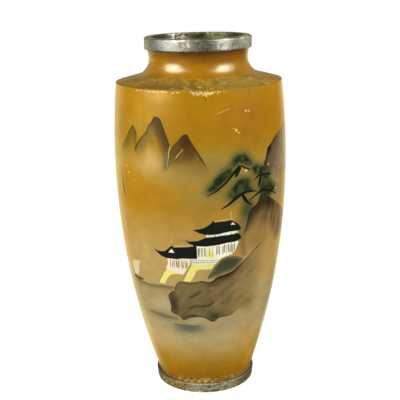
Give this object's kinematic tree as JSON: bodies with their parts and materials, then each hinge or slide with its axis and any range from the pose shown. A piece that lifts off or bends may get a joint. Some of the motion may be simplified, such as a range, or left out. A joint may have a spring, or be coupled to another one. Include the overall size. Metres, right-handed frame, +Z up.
{
  "type": "cloisonne vase",
  "caption": "Tall shouldered vase with a short flared neck, metal rim collar and foot ring, and an inlaid enamel landscape.",
  "frame": {"origin": "centre of the foot ring's rest plane", "axes": "+Z up along the axis of revolution, -Y towards the viewer of the landscape, +X to its right"},
  "size_m": [0.1468, 0.1468, 0.305],
  "materials": {
    "copper": "raised copper, brown with age",
    "seam_solder": "dull silver solder",
    "collar_metal": "brushed, pitted pale metal",
    "foot_metal": "dull grey with tarnish",
    "wire_metal": "flat polished cell wire",
    "lining": "dark mottled lining enamel",
    "base_glaze": "dark counter enamel",
    "ground": "ochre enamel, shaded",
    "shoulder_ground": "ochre enamel, worn",
    "far_peak": "olive enamel fading to the ground",
    "tall_peak": "brown enamel fading to the ground",
    "near_peak": "red-brown enamel fading to the ground",
    "mountain": "brown enamel fading to the ground",
    "rock": "olive-brown enamel, shaded",
    "ledge": "dark brown enamel, shaded",
    "moss": "grey-green enamel",
    "roof": "black-green enamel",
    "white": "cream white enamel",
    "yellow": "pale yellow enamel",
    "pine_wood": "black enamel",
    "pine_needles": "dark blue-green enamel",
    "sail": "cream enamel",
    "hull": "dark brown enamel",
    "water": "grey-green enamel"
  },
  "bodies": {
    "root": {"body_wall": "copper", "neck_shoulder": "copper", "base_plate": "copper", "shoulder_solder": "seam_solder", "base_solder": "seam_solder", "rim_collar": "collar_metal", "foot_ring": "foot_metal", "lining_enamel": "lining", "base_enamel": "base_glaze", "body_enamel": "ground", "neck_enamel": "shoulder_ground", "far_peak_enamel": "far_peak", "tall_peak_enamel": "tall_peak", "near_peak_enamel": "near_peak", "peak_wires": "wire_metal", "mountain_enamel": "mountain", "rock_enamel": "rock", "rock_wires": "wire_metal", "ledge_enamel": "ledge", "ledge_wires": "wire_metal", "moss_enamel": "moss", "upper_roof_enamel": "roof", "middle_roof_enamel": "roof", "lower_roof_enamel": "roof", "roof_wires": "wire_metal", "wall_panel_enamel": "white", "column_wires": "wire_metal", "terrace_enamel": "yellow", "terrace_wires": "wire_metal", "pine_branch_enamel": "pine_wood", "pine_needle_enamel": "pine_needles", "pine_wires": "wire_metal", "sail_enamel": "sail", "hull_enamel": "hull", "boat_wires": "wire_metal", "water_enamel": "water", "water_wires": "wire_metal"}
  },
  "joints": []
}
